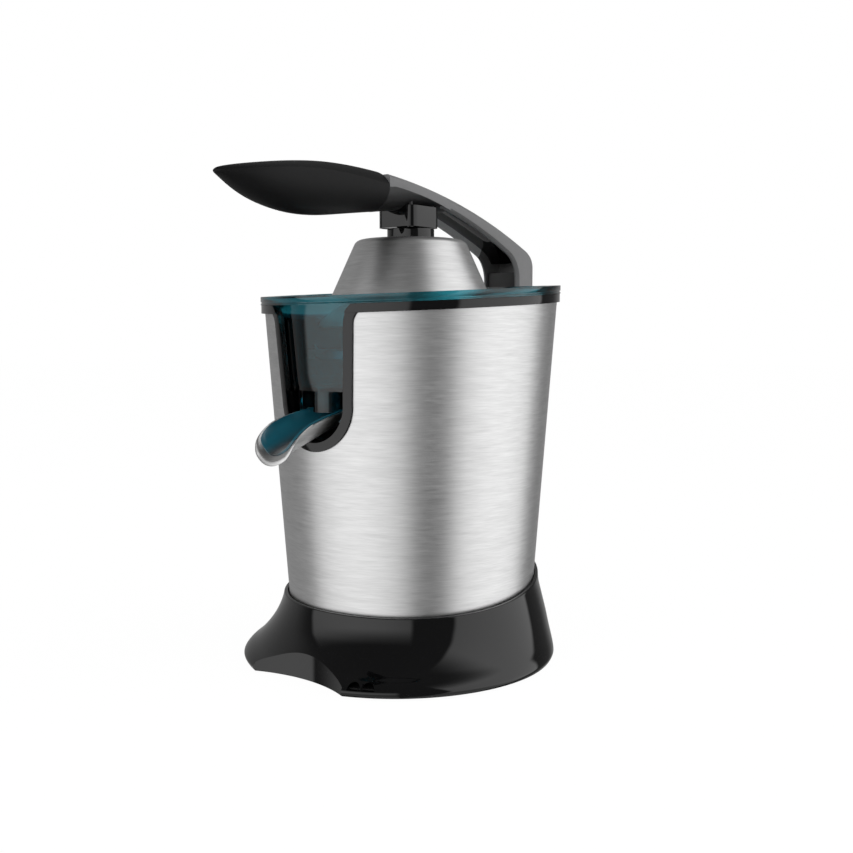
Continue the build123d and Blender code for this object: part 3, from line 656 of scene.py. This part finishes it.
def softWall(tree, heading, height, bearing, half, edge, top, fade, level, sideShare):
    angle = math.radians(bearing)
    facing = addNode(tree, "ShaderNodeVectorMath", {1: (math.cos(angle), math.sin(angle), 0)}, {0: heading},
                     operation="DOT_PRODUCT").outputs["Value"]
    sides = [math.cos(math.radians(half + side * edge)) for side in (1, -1)]
    across = addNode(tree, "ShaderNodeMapRange", {1: sides[0], 2: sides[1], 3: 0.0, 4: level}, {0: facing},
                     interpolation_type="SMOOTHSTEP").outputs[0]
    core = addNode(tree, "ShaderNodeMapRange", {1: sides[0], 2: 1.0, 3: sideShare, 4: 1.0},
                   {0: facing}).outputs[0]
    ends = [math.sin(math.radians(a)) for a in (top - fade, top)]
    upward = addNode(tree, "ShaderNodeMapRange", {1: ends[0], 2: ends[1], 3: 1.0, 4: 0.0}, {0: height},
                     interpolation_type="SMOOTHSTEP").outputs[0]
    *angles, share = studio["under"]
    ends = [math.sin(math.radians(a)) for a in angles]
    downward = addNode(tree, "ShaderNodeMapRange", {1: ends[0], 2: ends[1], 3: share, 4: 1.0}, {0: height},
                       interpolation_type="SMOOTHSTEP").outputs[0]
    glow = across
    for fall in (core, upward, downward):
        glow = addNode(tree, "ShaderNodeMath", links={0: glow, 1: fall}, operation="MULTIPLY").outputs[0]
    return glow


def buildWorld():
    world = bpy.data.worlds.new("studio")
    world.use_nodes = True
    tree = world.node_tree
    tree.nodes.clear()
    aim = addNode(tree, "ShaderNodeTexCoord").outputs["Generated"]
    level = addNode(tree, "ShaderNodeVectorMath", {1: (1, 1, 0)}, {0: aim}, operation="MULTIPLY").outputs[0]
    heading = addNode(tree, "ShaderNodeVectorMath", links={0: level}, operation="NORMALIZE").outputs[0]
    height = addNode(tree, "ShaderNodeSeparateXYZ", links={0: aim}).outputs["Z"]
    total = addNode(tree, "ShaderNodeValue")
    total.outputs[0].default_value = studio["base"]
    for box in studio["boxes"]:
        glow = softWall(tree, heading, height, **box)
        total = addNode(tree, "ShaderNodeMath", links={0: total.outputs[0], 1: glow}, operation="ADD")
    path = addNode(tree, "ShaderNodeLightPath").outputs
    seen = addNode(tree, "ShaderNodeMix", {3: 1.0},
                   {0: path["Is Camera Ray"], 2: total.outputs[0]}).outputs[0]
    glow = addNode(tree, "ShaderNodeBackground", {"Color": (1, 1, 1, 1)}, {"Strength": seen})
    addNode(tree, "ShaderNodeOutputWorld", links={"Surface": glow.outputs[0]})
    scene.world = world


# pale floor: white to the camera, keeps a soft shadow, lets reflections pass
floorLook = {"size": 14.0, "white": 0.95, "glow": 1.03, "colour": "#f4f4f4"}


def buildFloor():
    bm = bmesh.new()
    bmesh.ops.create_grid(bm, x_segments=1, y_segments=1, size=floorLook["size"] / 2)
    mesh = bpy.data.meshes.new("studioFloor")
    bm.to_mesh(mesh)
    bm.free()
    floor = bpy.data.objects.new("studioFloor", mesh)
    scene.collection.objects.link(floor)
    made = bpy.data.materials.new("paperSweep")
    made.use_nodes = True
    tree = made.node_tree
    tree.nodes.clear()
    paper = addNode(tree, "ShaderNodeBsdfDiffuse", {"Color": hexColour(floorLook["colour"])}).outputs[0]
    white = {"Color": (1, 1, 1, 1), "Strength": floorLook["glow"]}
    glow = addNode(tree, "ShaderNodeEmission", white).outputs[0]
    path = addNode(tree, "ShaderNodeLightPath").outputs
    lit = addNode(tree, "ShaderNodeMath", {1: floorLook["white"]}, {0: path["Is Camera Ray"]},
                  operation="MULTIPLY").outputs[0]
    seen = addNode(tree, "ShaderNodeMixShader", links={0: lit, 1: paper, 2: glow}).outputs[0]
    clear = addNode(tree, "ShaderNodeBsdfTransparent").outputs[0]
    both = addNode(tree, "ShaderNodeMixShader", links={0: path["Is Glossy Ray"], 1: seen, 2: clear})
    addNode(tree, "ShaderNodeOutputMaterial", links={"Surface": both.outputs[0]})
    mesh.materials.append(made)


# a soft box over the object that lights it without showing in its gloss, in metres
overhead = {"bearing": -60, "distance": 0.5, "height": 1.5, "size": 1.0, "radiance": 1.2, "target": (0, 0, 0.2)}


def buildOverhead():
    lamp = bpy.data.lights.new("overhead", "AREA")
    lamp.shape = "RECTANGLE"
    lamp.size = lamp.size_y = overhead["size"]
    lamp.energy = overhead["radiance"] * math.pi * overhead["size"] ** 2
    box = bpy.data.objects.new("overhead", lamp)
    angle, distance = math.radians(overhead["bearing"]), overhead["distance"]
    box.location = (distance * math.cos(angle), distance * math.sin(angle), overhead["height"])
    box.rotation_euler = (box.location - Vector(overhead["target"])).to_track_quat("Z", "Y").to_euler()
    box.visible_glossy = False
    scene.collection.objects.link(box)


# the photograph's viewpoint, worked out from the round rim and the base, in mm and degrees
view = {"spot": (472.6, -547.1, 210.9), "turn": 40.0, "pitch": 4.813, "lens": 45.96}


def buildCamera():
    eye = bpy.data.cameras.new("productCamera")
    eye.lens = view["lens"]
    eye.sensor_width = 36.0
    eye.sensor_fit = "HORIZONTAL"
    eye.clip_start = 0.01
    camera = bpy.data.objects.new("productCamera", eye)
    camera.location = Vector(view["spot"]) * mm
    camera.rotation_euler = (math.radians(90 - view["pitch"]), 0, math.radians(view["turn"]))
    scene.collection.objects.link(camera)
    scene.camera = camera


buildWorld()
buildFloor()
buildOverhead()
buildCamera()
scene.view_settings.view_transform = "Standard"
print("studio and camera ready")
